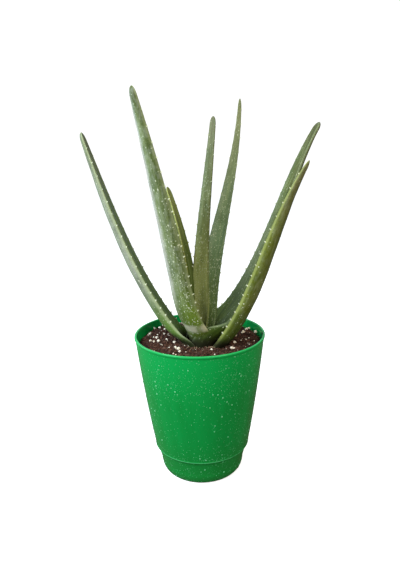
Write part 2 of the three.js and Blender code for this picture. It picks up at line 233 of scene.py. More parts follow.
def mixed(factor, first, second):
    # either side is a socket, a linear colour of four numbers or a screen colour of three
    first, second = (colour(*tone) if isinstance(tone, tuple) and len(tone) == 3 else tone
                     for tone in (first, second))
    return addNode("ShaderNodeMix", {"Factor": factor, 6: first, 7: second},
                   data_type="RGBA").outputs[2]


def coated(tone, value, look):
    # the look's own tone where the value lies in its band
    return mixed(band(value, *look["band"]), tone, look["tone"])


def stretched(vector, scale):
    return addNode("ShaderNodeMapping", {"Vector": vector, "Scale": scale}).outputs[0]


def noise(vector, scale, detail=3.0, roughness=0.55, distortion=0.0):
    return addNode("ShaderNodeTexNoise", {
        "Vector": vector, "Scale": scale, "Detail": detail,
        "Roughness": roughness, "Distortion": distortion}).outputs["Fac"]


def attribute(name, output="Fac"):
    return addNode("ShaderNodeAttribute", attribute_name=name).outputs[output]


def objectPlace():
    return addNode("ShaderNodeTexCoord").outputs["Object"]


def axisParts(vector):
    return addNode("ShaderNodeSeparateXYZ", {0: vector}).outputs


def bumped(sockets, height, strength, distance):
    bump = addNode("ShaderNodeBump", {"Height": height, "Strength": strength, "Distance": distance})
    link(bump.outputs[0], sockets["Normal"])


def newMaterial(name, **constants):
    material = bpy.data.materials.new(name)
    material.use_nodes = True
    shading["tree"] = material.node_tree
    sockets = material.node_tree.nodes["Principled BSDF"].inputs
    for key, value in constants.items():
        sockets[key.replace("_", " ")].default_value = value
    return material, sockets


def finishPiece(piece, material, slot, *replaced):
    piece.data.materials.append(material)
    if replaced:
        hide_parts(*replaced)
    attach(piece, "root")


# "wallDepths" are the first, the last and the number of depths at which a sight ray is tested
view = {
    "place": (1.4375, -459.375, 305.375), "down": 14.3, "roll": -1.33, "lens": 31.58, "sensor": 36.0,
    "clip": (0.01, 50.0), "frameWidth": 400, "frameHeight": 570, "wallDepths": (340, 520, 1801),
}

# the lamps' places and sizes, and the point that they aim at, are metres
studio = {
    "aim": (0.0, 0.0, 0.17), "skyFade": (0.1, 0.95), "floorHalf": 6000.0, "floorLevel": -0.1,
    "keyPlace": (-0.60, -0.42, 0.70), "keySize": 0.42, "keyPower": 9.0, "keyTint": (228, 243, 255),
    "fillPlace": (0.45, -0.75, 0.85), "fillSize": 0.6, "fillPower": 6.5, "fillTint": (255, 246, 226),
    "rimPlace": (-0.80, 0.28, 0.38), "rimSize": 0.5, "rimPower": 3.3, "rimTint": (216, 239, 255),
    "sky": (200, 210, 216), "dim": (120, 96, 72), "skyStrength": 1.0, "seenSky": 1.1,
    "floor": (242, 242, 242), "floorGlow": 0.72, "floorBounce": (112, 106, 92),
}


def makeCamera():
    data = bpy.data.cameras.new("camera")
    data.sensor_width = view["sensor"]
    data.lens = view["lens"]
    data.clip_start, data.clip_end = view["clip"]
    camera = bpy.data.objects.new("camera", data)
    bpy.context.scene.collection.objects.link(camera)
    tilt = Matrix.Rotation(math.radians(90 - view["down"]), 4, "X")
    roll = Matrix.Rotation(math.radians(view["roll"]), 4, "Z")
    camera.matrix_world = Matrix.Translation(Vector(view["place"]) * mm) @ tilt @ roll
    bpy.context.scene.camera = camera


def makeLight(name, place, size, power, tint):
    data = bpy.data.lights.new(name, "AREA")
    data.shape = "SQUARE"
    data.size = size
    data.energy = power
    data.color = colour(*tint)[:3]
    light = bpy.data.objects.new(name, data)
    light.location = place
    backward = Vector(place) - Vector(studio["aim"])
    light.rotation_euler = backward.to_track_quat("Z", "Y").to_euler()
    bpy.context.scene.collection.objects.link(light)


def makeSky():
    # bright from the left, dimmer and warmer from the right, plain white where the camera looks
    world = bpy.data.worlds.new("sky")
    bpy.context.scene.world = world
    world.use_nodes = True
    shading["tree"] = world.node_tree
    background = world.node_tree.nodes["Background"].inputs
    direction = addNode("ShaderNodeTexCoord").outputs["Generated"]
    share = band(axisParts(direction)["X"], *studio["skyFade"])
    lit = mixed(share, studio["sky"], studio["dim"])
    seen = addNode("ShaderNodeLightPath").outputs["Is Camera Ray"]
    plain = (studio["seenSky"], studio["seenSky"], studio["seenSky"], 1)
    link(mixed(seen, lit, plain), background["Color"])
    background["Strength"].default_value = studio["skyStrength"]


def makeFloor():
    # a pale sheet that is white to look at and throws a weaker, warmer light back up
    half, level = studio["floorHalf"], studio["floorLevel"]
    points = np.array([[x * half, y * half, level] for x, y in ((-1, -1), (1, -1), (1, 1), (-1, 1))])
    floor = newPiece("floor", points, quads=[[0, 1, 2, 3]], smooth=False)
    material, sockets = newMaterial("paleFloor", Roughness=0.9, Specular_IOR_Level=0.0)
    seen = addNode("ShaderNodeLightPath").outputs["Is Camera Ray"]
    tone = mixed(seen, studio["floorBounce"], studio["floor"])
    link(tone, sockets["Base Color"])
    link(tone, sockets["Emission Color"])
    glow = times(seen, studio["floorGlow"])
    link(glow, sockets["Emission Strength"])
    floor.data.materials.append(material)


makeCamera()
for lamp in ("key", "fill", "rim"):
    makeLight(lamp + "Light", *(studio[lamp + part] for part in ("Place", "Size", "Power", "Tint")))
makeSky()
makeFloor()
bpy.context.scene.view_settings.view_transform = "Standard"
print("camera, light and floor done")


pot = {
    "height": 141.0, "rimRadius": 62.5, "rimRound": 1.0, "rimBead": 0.5, "seamBead": 0.45,
    "seamHeight": 27.2, "seamRadius": 46.9, "bulge": 3.9, "wall": 1.6, "ledge": 9.0,
    "footRadius": 43.1, "footTaper": 1.5, "footBottom": 20.0, "floorTop": 22.2,
    "drainHoles": 6, "drainRadius": 3.0, "drainCircle": 24.0, "drillReach": 5.0, "drillSides": 32,
    "seamBeadTop": 0.9, "seamBeadEnd": 1.2, "rimBeadFoot": 2.0, "rimBeadStart": 2.6, "beadRound": 0.3,
    "floorCorner": 1.2, "axisStep": 6.0, "sides": 224, "wallRows": 60, "wallFrom": 1.6, "wallTo": 3.2,
    "insideTo": 1.5,
}

tray = {
    "lipRadius": 45.6, "lipGap": 0.3, "bellyRadius": 41.5, "bellyHeight": 12.0,
    "flatRadius": 36.2, "wall": 1.6, "floor": 1.8, "sides": 192,
}

# the bands of the four parts of the wall are metres above the tray's underside
plastic = {
    "deep": (3, 134, 54), "bright": (6, 156, 72), "flowScale": (90, 90, 7), "flowBand": (0.3, 0.7),
    "body": {"band": (0.35, 0.65, 0.45, 0.8), "tone": (4, 146, 62)}, "patchScale": 38.0,
    # painted light: the wall lighter towards the rim; painted shade: darker and warmer towards the foot
    "paintedLightNearRim": {"band": (0.08, 0.14, 0.0, 0.8), "tone": (6, 164, 76)},
    "paintedShadeNearFoot": {"band": (0.06, 0.0, 0.0, 0.8), "tone": (24, 130, 52)},
    # painted highlights: thin pale lines along the rim's edge and along the seam
    "paintedRimHighlight": {"band": (0.14, 0.1406, 0.0, 0.12), "tone": (112, 216, 156)},
    "paintedSeamHighlight": {"top": (0.0283, 0.0278, 0.0, 0.45), "foot": (0.0268, 0.027), "tone": (112, 216, 156)},
    "shine": 0.22, "smoothest": 0.16, "roughSpread": 0.12, "peelScale": 700.0,
    "peelBump": (0.12, 0.0002),
}


def wallRadius(height):
    # straight taper from rim to seam plus a shallow parabola
    down = (pot["height"] - height) / (pot["height"] - pot["seamHeight"])
    taper = pot["rimRadius"] + (pot["seamRadius"] - pot["rimRadius"]) * down
    return taper + pot["bulge"] * down * (1 - down)


def potProfile():
    # up the outside of the wall, over the rim, and down the inside to the floor
    seam, top, wall, rim = pot["seamHeight"], pot["height"], pot["wall"], pot["rimRadius"]
    foot, bottom, floor = pot["footRadius"], pot["footBottom"], pot["floorTop"]
    corner, rounding, axis = pot["floorCorner"], pot["beadRound"], pot["axisStep"]
    outer = np.linspace(seam + pot["wallFrom"], top - pot["wallTo"], pot["wallRows"])
    inner = np.linspace(top - pot["insideTo"], seam + pot["ledge"], pot["wallRows"] // 2)
    seamOut = wallRadius(seam) + pot["seamBead"]
    rimOut = rim + pot["rimBead"]
    beadEnd, beadStart = seam + pot["seamBeadEnd"], top - pot["rimBeadStart"]
    corners = [[0, bottom], [axis, bottom], [foot - pot["footTaper"], bottom, 1.0],
               [foot, seam - rounding],
               [seamOut - 0.5, seam, rounding], [seamOut, seam + rounding, rounding],
               [seamOut, seam + pot["seamBeadTop"], rounding], [wallRadius(beadEnd), beadEnd]]
    corners += [[wallRadius(z), z] for z in outer]
    corners += [[wallRadius(beadStart), beadStart, 0.4], [rimOut, top - pot["rimBeadFoot"], 0.5],
                [rimOut, top, pot["rimRound"]], [rim - wall, top, pot["rimRound"]]]
    corners += [[wallRadius(z) - wall, z] for z in inner]
    corners += [[foot - wall, seam + 1, 1.5], [foot - wall - corner, floor + corner, 1.0],
                [foot - wall - 2 * corner, floor], [axis, floor], [0, floor]]
    return softened(corners)


def trayProfile():
    # flat underside, a quarter ellipse out to the belly, a cone up to the lip, and back inside
    lip = pot["seamHeight"] - tray["lipGap"]
    t = np.linspace(0, np.pi / 2, 16)
    wall = tray["wall"]

    def foot(flatRadius, flatHeight, bellyRadius):
        return np.stack([flatRadius + (bellyRadius - flatRadius) * np.sin(t),
                         flatHeight + (tray["bellyHeight"] - flatHeight) * (1 - np.cos(t))], -1)

    outside = foot(tray["flatRadius"], 0, tray["bellyRadius"])
    inside = foot(tray["flatRadius"] - wall, tray["floor"], tray["bellyRadius"] - wall)[::-1]
    edge = softened([outside[-1], [tray["lipRadius"], lip, 0.6], [tray["lipRadius"] - wall, lip, 0.5],
                     inside[0]])
    return np.concatenate([[[0, 0]], outside[:-1], edge, inside[1:], [[0, tray["floor"]]]])


def cutHoles(piece):
    # drills the drain holes through the foot and keeps the result as the piece's own mesh
    radius, reach = pot["drainRadius"], pot["drillReach"]
    points, quads, tris = turned([[0, -reach], [radius, -reach], [radius, reach], [0, reach]],
                                 pot["drillSides"])
    middles = polar(pot["drainCircle"], circle(pot["drainHoles"]), pot["footBottom"])
    drill = newPiece("drill", *copies(points, quads, tris, points[None] + middles[:, None]))
    modifier = piece.modifiers.new("drain", "BOOLEAN")
    modifier.operation = "DIFFERENCE"
    modifier.solver = "MANIFOLD"
    modifier.object = drill
    bpy.context.view_layer.update()
    cut = bpy.data.meshes.new_from_object(piece.evaluated_get(bpy.context.evaluated_depsgraph_get()))
    piece.modifiers.clear()
    cut.materials.clear()
    piece.data = cut
    bpy.data.objects.remove(drill)


def plasticMaterial():
    # glossy polypropylene: faint flow lines up the wall, a fine orange peel, painted light towards the rim,
    # a darker, warmer painted shade towards the foot, and painted highlight lines on the rim's edge and seam
    material, sockets = newMaterial("greenPlastic", IOR=1.49, Specular_IOR_Level=plastic["shine"])
    place = objectPlace()
    flow = noise(stretched(place, plastic["flowScale"]), 1.0, 4.0)
    patch = noise(place, plastic["patchScale"], 3.0)
    level = axisParts(place)["Z"]
    tone = mixed(band(flow, *plastic["flowBand"]), plastic["deep"], plastic["bright"])
    # after the random patches: painted light near the rim, painted shade near the foot, a painted highlight
    # line on the rim's edge
    for value, part in ((patch, "body"), (level, "paintedLightNearRim"), (level, "paintedShadeNearFoot"), (level, "paintedRimHighlight")):
        tone = coated(tone, value, plastic[part])
    # a painted highlight line along the seam
    look = plastic["paintedSeamHighlight"]
    paintedSeamHighlight = times(band(level, *look["top"]), band(level, *look["foot"]))
    tone = mixed(paintedSeamHighlight, tone, look["tone"])
    link(tone, sockets["Base Color"])
    gloss = plus(times(patch, plastic["roughSpread"]), plastic["smoothest"])
    link(gloss, sockets["Roughness"])
    bumped(sockets, noise(place, plastic["peelScale"], 2.0), *plastic["peelBump"])
    return material


greenPlastic = plasticMaterial()
potPiece = newPiece("pot", *turned(potProfile(), pot["sides"]))
cutHoles(potPiece)
finishPiece(potPiece, greenPlastic, "pot_plastic", "pot_body")
trayPiece = newPiece("tray", *turned(trayProfile(), tray["sides"]))
finishPiece(trayPiece, greenPlastic, "pot_plastic", "water_tray")
print("pot and tray done")


# "front" holds the larger drops' places in the photograph, whose frame is 400 x 570
drops = {
    "front": ((157, 394), (161, 405), (155, 411), (156, 386), (168, 385), (175, 392), (213, 395), (218, 395),
              (223, 398), (210, 408), (227, 402), (232, 405), (235, 414), (237, 363), (231, 375), (241, 376),
              (249, 365), (222, 417), (215, 426), (228, 437), (222, 455), (200, 459), (206, 463), (216, 465),
              (223, 462), (205, 470), (224, 472), (201, 472), (143, 382), (146, 396), (161, 457), (254, 402),
              (248.5, 430), (239, 464)),
    "frontSize": (0.55, 0.95), "large": 60, "largeSize": (0.5, 0.9), "mist": 6600, "mistSize": (0.2, 0.46),
    "clusters": 26, "clusterSpread": (0.3, 13.0), "alone": 0.35,
    "lowest": 3.0, "belowRim": 4.0, "seamGap": 1.5, "seamShift": 3.0, "slopeStep": 0.2,
    "mistSkew": 1.6, "largeShade": (0.6, 1.0), "mistShade": (0.2, 0.75), "shadeSkew": 1.5,
    "longer": (0.9, 1.6), "height": 0.6, "sunk": 0.1, "seed": 5,
    # the pale "thick" tone of the larger drops is a painted highlight
    "thin": (20, 158, 80), "thick": (120, 214, 156), "cloudScale": 260.0, "cloudShare": 0.4,
}


def outsideRadius(height):
    # the pot's wall above the seam, the tray's cone and rounded belly below it
    cone = (tray["lipRadius"] - tray["bellyRadius"]) / (pot["seamHeight"] - tray["bellyHeight"])
    onCone = tray["bellyRadius"] + cone * (height - tray["bellyHeight"])
    drop = np.clip((tray["bellyHeight"] - height) / tray["bellyHeight"], 0, 1)
    onBelly = tray["flatRadius"] + (tray["bellyRadius"] - tray["flatRadius"]) * np.sqrt(1 - drop ** 2)
    below = np.where(height < tray["bellyHeight"], onBelly, onCone)
    return np.where(height > pot["seamHeight"], wallRadius(height), below)


def sightRays(pixels):
    # directions from the camera through pixels of the photograph's frame, one unit deep
    pose = bpy.context.scene.camera.matrix_world
    right, up, back = (np.array(pose.col[i][:3]) for i in range(3))
    pixels = np.array(pixels, float)
    focal = view["lens"] / view["sensor"] * view["frameHeight"]
    x = (pixels[:, :1] - view["frameWidth"] / 2) / focal
    y = (view["frameHeight"] / 2 - pixels[:, 1:]) / focal
    return x * right + y * up - back


def wallSpots(pixels):
    # turn and height where each ray first meets the outside, or passes closest to it
    depth = np.linspace(*view["wallDepths"])
    path = np.array(view["place"]) + sightRays(pixels)[:, None] * depth[None, :, None]
    gap = np.hypot(path[..., 0], path[..., 1]) - outsideRadius(path[..., 2])
    met = np.where((gap < 0).any(1), np.argmax(gap < 0, 1), np.argmin(gap, 1))
    spot = path[np.arange(len(path)), met]
    return np.arctan2(spot[:, 1], spot[:, 0]), spot[:, 2]


def domeShape(rings=2, sides=6):
    # half ball of radius and height 1 with a closed flat underside
    tilt = np.linspace(0, np.pi / 2, rings + 1)
    profile = np.concatenate([[[0, 0]], np.stack([np.cos(tilt), np.sin(tilt)], -1)])
    return turned(profile, sides)


def dropPiece():
    # each dome stands on the wall: the named drops, then a few larger ones and a fine mist, whose turn
    # and height are random, mostly gathered round the clusters' middles
    rng = np.random.default_rng(drops["seed"])
    count = drops["large"] + drops["mist"]
    lowest, highest = drops["lowest"], pot["height"] - drops["belowRim"]
    spans = ((0, 2 * np.pi), (lowest, highest))
    middles = [rng.uniform(*span, drops["clusters"]) for span in spans]
    chosen = rng.integers(0, drops["clusters"], count)
    alone = rng.random(count) < drops["alone"]
    turn, height = (
        np.where(alone, rng.uniform(*span, count), middle[chosen] + rng.normal(0, spread, count))
        for span, middle, spread in zip(spans, middles, drops["clusterSpread"]))
    frontTurn, frontHeight = wallSpots(drops["front"])
    turn = np.concatenate([frontTurn, turn])
    height = np.concatenate([frontHeight, np.clip(height, lowest, highest)])
    nearSeam = np.abs(height - pot["seamHeight"]) < drops["seamGap"]
    height = np.where(nearSeam, height + drops["seamShift"], height)
    size = np.concatenate([rng.uniform(*drops["frontSize"], len(frontTurn)),
                           rng.uniform(*drops["largeSize"], drops["large"]),
                           skewed(rng, *drops["mistSize"], drops["mist"], drops["mistSkew"])])
    shade = np.concatenate([rng.uniform(*drops["largeShade"], len(size) - drops["mist"]),
                            skewed(rng, *drops["mistShade"], drops["mist"], drops["shadeSkew"])])
    step = drops["slopeStep"]
    slope = (outsideRadius(height + step) - outsideRadius(height - step)) / (2 * step)
    outward = unit(polar(1.0, turn, -slope))
    sideways = xyz(-np.sin(turn), np.cos(turn), 0.0)
    middle = polar(outsideRadius(height) - drops["sunk"], turn, height)
    longer = rng.uniform(*drops["longer"], len(size))
    scale = xyz(size, size * longer, size * drops["height"])
    points, quads, tris = domeShape()
    placed = placedOn(middle, points, scale, sideways, np.cross(outward, sideways), outward)
    return newPiece("water_specks", *copies(points, quads, tris, placed),
                    {"shade": np.repeat(shade, len(points))})


def dropMaterial():
    # water drops whose pale tone is a painted highlight: the mist is nearly the plastic's green, the larger
    # ones are paler
    material, sockets = newMaterial("waterDropsPaintedGlint", Roughness=0.22, IOR=1.4)
    cloud = noise(objectPlace(), drops["cloudScale"], 2.0)
    cloudy = times(maths("SUBTRACT", cloud, 0.5), drops["cloudShare"])
    share = plus(attribute("shade"), cloudy, clamp=True)
    link(mixed(share, drops["thin"], drops["thick"]), sockets["Base Color"])
    return material


finishPiece(dropPiece(), dropMaterial(), "pot_plastic")
print("water drops done")


crownY = -9.0  # the plant stands a little in front of the pot's axis

soil = {
    "top": 134.2, "edge": 131.0, "clear": 0.5, "relief": 0.8,
    "rings": 96, "sides": 300, "lumps": ((4.3, 0.425), (2.1, 0.272), (1.05, 0.25), (0.7, 0.15)),
    "crownDip": 2.2, "crownReach": 19.0,
    "well": 11.0, "wellDepth": 11.0, "wellSlope": 2.5, "shoulder": 4.0,
    "clodScale": 420.0, "clodBand": (0.35, 0.68), "clodBump": (0.7, 0.0006),
    "dark": (30, 16, 11), "light": (74, 42, 28),
    "dampScale": 60.0, "damp": {"band": (0.4, 0.7, 0.0, 0.5), "tone": (40, 21, 15)},
}

# "front" holds the larger grains' places in the photograph; "large" are those behind the plant
perlite = {
    "front": ((160, 323.5), (163, 325), (159.5, 328), (154.5, 328.5), (165, 329.5), (148, 335.5), (150, 334),
              (157, 337.5), (150.5, 341.5), (154, 342), (158.5, 341.5), (167, 341.5), (166.5, 340.5),
              (174.5, 342), (175, 348.5), (176.5, 348), (178.5, 349.5), (179.5, 351.5), (245, 324),
              (247.5, 330), (249, 328.5), (246, 330.5), (243.5, 333), (242, 333.5), (255.5, 332.5),
              (235.5, 336.5), (235, 342.5), (246, 340), (234, 349), (232, 349), (211.5, 349.8)),
    "frontSize": (1.0, 1.75), "large": 24, "largeSize": (0.9, 1.8), "small": 130, "smallSize": (0.3, 0.75),
    "backFrom": 14.0, "seed": 11, "stretch": (0.75, 1.25),
    "look": {"dark": (214, 196, 172), "light": (246, 238, 222), "roughness": 0.9, "grain": 900, "bump": 0.5},
}

crumbs = {
    "count": 1500, "size": (0.5, 1.7), "sizeSkew": 2, "reach": 55.5, "keepOff": 11.0, "seed": 29,
    "stretch": ((1.0, 1.9), (0.6, 1.0), (0.35, 0.7)),
    "look": {"dark": (26, 13, 9), "light": (98, 58, 38), "roughness": 0.85, "grain": 700, "bump": 0.6},
}

fibres = {
    "count": 420, "length": (3, 10), "radius": (0.09, 0.2), "reach": 52.0, "keepOff": 12.0, "steps": 7,
    "bend": 0.8, "rise": (0.1, 0.6), "seed": 43,
    "look": {"dark": (60, 32, 24), "light": (138, 96, 70), "roughness": 0.8, "grain": 500, "bump": 0.2},
}


# the grains' random waves, and how high a thread's middle line lies and its thinnest share
loose = {"waves": 2.4, "phase": 6.28, "threadLift": 0.6, "threadEnd": 0.02}


def soilGround(x, y):
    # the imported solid's low lumps, fading out towards the wall
    lumps = (np.sin(0.21 * x + 1.1) * np.cos(0.19 * y - 0.4)
             + 0.6 * np.sin(0.43 * x - 0.33 * y) + 0.5 * np.cos(0.37 * x + 0.51 * y + 2))
    calm = 1 - (np.hypot(x, y) / pot["rimRadius"]) ** 4
    return soil["top"] + soil["relief"] * lumps * calm


def soilHeight(x, y):
    # ground + four sizes of crumbly lattice noise - a dip that deepens into the crown's well
    lumps = sum(share * latticeNoise(x, y, cell, number)
                for number, (cell, share) in enumerate(soil["lumps"], 1))
    fromCrown = np.hypot(x, y - crownY)
    dip = soil["crownDip"] * (1 - smoothStep(fromCrown, 0.5 * soil["crownReach"], soil["crownReach"]))
    well = 1 - smoothStep(fromCrown, soil["well"] - soil["wellSlope"], soil["well"])
    return soilGround(x, y) + lumps - dip - soil["wellDepth"] * well


def soilPiece():
    # polar grid: the first rows are the surface, the rest run down the pot's inside to its floor
    inset, edge, shoulder = pot["wall"] + soil["clear"], soil["edge"], soil["shoulder"]
    inside = wallRadius(edge) - inset
    radius = np.linspace(0, inside, soil["rings"] + 1)[1:, None]
    turn = circle(soil["sides"])
    x, y = radius * np.cos(turn), radius * np.sin(turn)
    fall = smoothStep(radius, inside - shoulder, inside) * (soil["top"] - edge)
    top = xyz(x, y, soilHeight(x, y) - fall)
    levels = np.linspace(edge - shoulder, pot["seamHeight"] + pot["ledge"], 12)
    foot, floor, corner = pot["footRadius"] - inset, pot["floorTop"] + soil["clear"], pot["floorCorner"]
    sideRadii = np.concatenate([wallRadius(levels) - inset,
                                [foot, foot - corner, foot - 2 * corner, foot / 2]])
    sideLevels = np.concatenate([levels, [pot["seamHeight"] + 1, floor + corner, floor, floor]])
    grid = np.concatenate([top, polar(sideRadii[:, None], turn, sideLevels[:, None])])
    points = np.concatenate([grid.reshape(-1, 3), [[0, 0, float(soilHeight(0.0, 0.0))], [0, 0, floor]]])
    rows, sides = grid.shape[:2]
    ring, end = np.arange(sides), rows * sides
    tris = np.concatenate([fan(ring, end), fan(end - sides + ring, end + 1, flip=True)])
    return newPiece("potting_soil", points, gridQuads(rows, sides)[:, ::-1], tris)


def groundSpots(rng, count, reach=53.0, keepOff=13.0):
    # even random places on the soil, away from the crown
    spots = np.zeros((0, 2))
    while len(spots) < count:
        turn, radius = rng.uniform(0, 2 * np.pi, count), reach * np.sqrt(rng.random(count))
        more = polar(radius, turn)
        far = np.hypot(more[:, 0], more[:, 1] - crownY) > keepOff
        spots = np.concatenate([spots, more[far]])
    return spots[:count]


def scattered(name, rng, spots, size, stretch, shape, lift, rough):
    # one lumpy ball for each spot: radius * (1 + rough*wave), stretched, turned and half sunk
    points, quads, tris = shape
    count = len(spots)
    slant = rng.normal(0, loose["waves"], (3, count))
    wave = np.sin(points @ slant + rng.uniform(0, loose["phase"], count)).T
    body = points[None] * (1 + rough * wave[..., None])
    body = body * stretch[:, None, :] * size[:, None, None]
    body = np.einsum("cij,cpj->cpi", turns(rng, count), body)
    z = soilHeight(spots[:, 0], spots[:, 1]) + lift * size
    middle = np.concatenate([spots, z[:, None]], 1)
    placed = body + middle[:, None]
    shade = np.repeat(rng.random(count), len(points))
    return newPiece(name, *copies(points, quads, tris, placed), {"shade": shade}, smooth=False)


def soilSpots(pixels):
    # where the camera's ray through each pixel meets the level of the soil
    ray = sightRays(pixels)
    start = np.array(view["place"])
    depth = (soil["top"] - start[2]) / ray[:, 2]
    return start[:2] + ray[:, :2] * depth[:, None]


def perlitePiece():
    rng = np.random.default_rng(perlite["seed"])
    front = soilSpots(perlite["front"])
    many = groundSpots(rng, 8 * perlite["large"])
    back = many[many[:, 1] > perlite["backFrom"]][:perlite["large"]]
    spots = np.concatenate([front, back, groundSpots(rng, perlite["small"])])
    size = np.concatenate([rng.uniform(*perlite["frontSize"], len(front)),
                           rng.uniform(*perlite["largeSize"], len(back)),
                           rng.uniform(*perlite["smallSize"], perlite["small"])])
    stretch = rng.uniform(*perlite["stretch"], (len(spots), 3))
    return scattered("perlite", rng, spots, size, stretch, ballPoints(4, 7), lift=0.35, rough=0.16)


def crumbPiece():
    rng = np.random.default_rng(crumbs["seed"])
    count = crumbs["count"]
    size = skewed(rng, *crumbs["size"], count, crumbs["sizeSkew"])
    stretch = np.stack([rng.uniform(*limits, count) for limits in crumbs["stretch"]], -1)
    spots = groundSpots(rng, count, crumbs["reach"], crumbs["keepOff"])
    return scattered("bark_crumbs", rng, spots, size, stretch, ballPoints(2, 5), lift=0.2, rough=0.3)


def strands(name, starts, heading, length, radius, bend, rise, steps, sides=4):
    # a round thread along an arc for each start: heading turns by "bend" over the thread's length,
    # its radius tapers to both ends, and its height is the ground's plus a low arch
    t = np.linspace(0, 1, steps)
    angle = heading[:, None] + bend[:, None] * (t - 0.5)
    step = length[:, None] / (steps - 1)
    x = starts[:, :1] + np.cumsum(np.cos(angle) * step, 1)
    y = starts[:, 1:2] + np.cumsum(np.sin(angle) * step, 1)
    z = soilHeight(x, y) + radius[:, None] * loose["threadLift"] + rise[:, None] * np.sin(np.pi * t)
    across = xyz(-np.sin(angle), np.cos(angle), 0.0)
    ring = circle(sides)[:, None]
    thin = radius[:, None] * np.sqrt(np.clip(1 - (2 * t - 1) ** 2, loose["threadEnd"], 1))
    tube = xyz(x, y, z)[:, :, None] + thin[:, :, None, None] * (
        np.cos(ring) * across[:, :, None] + np.sin(ring) * np.array([0.0, 0.0, 1.0]))
    count, size = len(starts), steps * sides
    points = tube.reshape(count, size, 3)
    quads = gridQuads(steps, sides)[:, ::-1]
    tris = np.concatenate([lid(0, sides), lid(size - sides, sides, flip=True)])
    shade = np.repeat(np.linspace(0, 1, count), size)
    return newPiece(name, *copies(points[0], quads, tris, points), {"shade": shade})


def fibrePiece():
    rng = np.random.default_rng(fibres["seed"])
    count = fibres["count"]
    starts = groundSpots(rng, count, fibres["reach"], fibres["keepOff"])
    return strands("soil_fibres", starts, rng.uniform(0, 2 * np.pi, count),
                   rng.uniform(*fibres["length"], count), rng.uniform(*fibres["radius"], count),
                   rng.normal(0, fibres["bend"], count), rng.uniform(*fibres["rise"], count),
                   fibres["steps"])


def soilMaterial():
    # dark clods with lighter crumbs, and damper patches over them
    material, sockets = newMaterial("peatMix", Roughness=0.95, Specular_IOR_Level=0.2)
    place = objectPlace()
    clod = noise(place, soil["clodScale"], 5.0, 0.7)
    damp = noise(place, soil["dampScale"], 3.0)
    tone = mixed(band(clod, *soil["clodBand"]), soil["dark"], soil["light"])
    tone = coated(tone, damp, soil["damp"])
    link(tone, sockets["Base Color"])
    bumped(sockets, clod, *soil["clodBump"])
    return material


def shadedMaterial(name, dark, light, roughness, grain, bump):
    # tone from dark to light by each bit's own "shade" number, with a fine grain over it
    material, sockets = newMaterial(name, Roughness=roughness)
    fine = noise(objectPlace(), grain, 4.0, 0.65)
    share = plus(times(attribute("shade"), 0.7), times(fine, 0.3))
    link(mixed(share, dark, light), sockets["Base Color"])
    bumped(sockets, fine, bump, 0.0003)
    return material


finishPiece(soilPiece(), soilMaterial(), "soil", "soil")
finishPiece(perlitePiece(), shadedMaterial("perliteWhite", **perlite["look"]), "soil")
finishPiece(crumbPiece(), shadedMaterial("barkBrown", **crumbs["look"]), "soil")
finishPiece(fibrePiece(), shadedMaterial("fibreBrown", **fibres["look"]), "soil")
print("soil done")


blade = {
    "channel": 0.35, "sheath": 1.3, "rollReach": 12.0, "blunt": 7.0, "edge": 0.6, "outerShare": 0.78,
    "rowStep": 0.9, "facePoints": 26, "ripple": 0.1, "marginSwell": 0.3,
    "swellReach": 1.7, "spineStep": 0.25, "leastWidth": 3.0, "capRows": 14, "marginRound": 0.3,
    "phaseStep": 1.7,
}

teeth = {
    "root": 1.25, "thick": 0.42, "height": 1.7, "lean": 1.0, "sunk": 0.7, "sides": 8, "rings": 5,
    "baseSpacing": 7.0, "tipSpacing": 14.0, "lastBefore": 9.0, "seed": 71,
    "size": (0.8, 1.15), "tipLoss": 0.35, "taper": 0.8, "inset": 0.85, "paleFrom": 0.55,
}

# lean and width are given at the base, middle and tip; "outer" and "inner" are the tones of the two
# faces at margin -1, centre and margin +1; the base tone is full and gone at the two reaches in mm
usualLeaf = {
    "flare": 0, "flareReach": 8, "opening": 16, "hug": 5, "fleshing": 24, "roll": 0, "twist": 0,
    "teethFrom": 30, "bloom": 0.1, "dust": 1.0, "fleckTop": 0.9, "papery": 0.0, "rim": 0.6,
    "fade": (-0.9, -0.05, 0.0, 0.75),
}

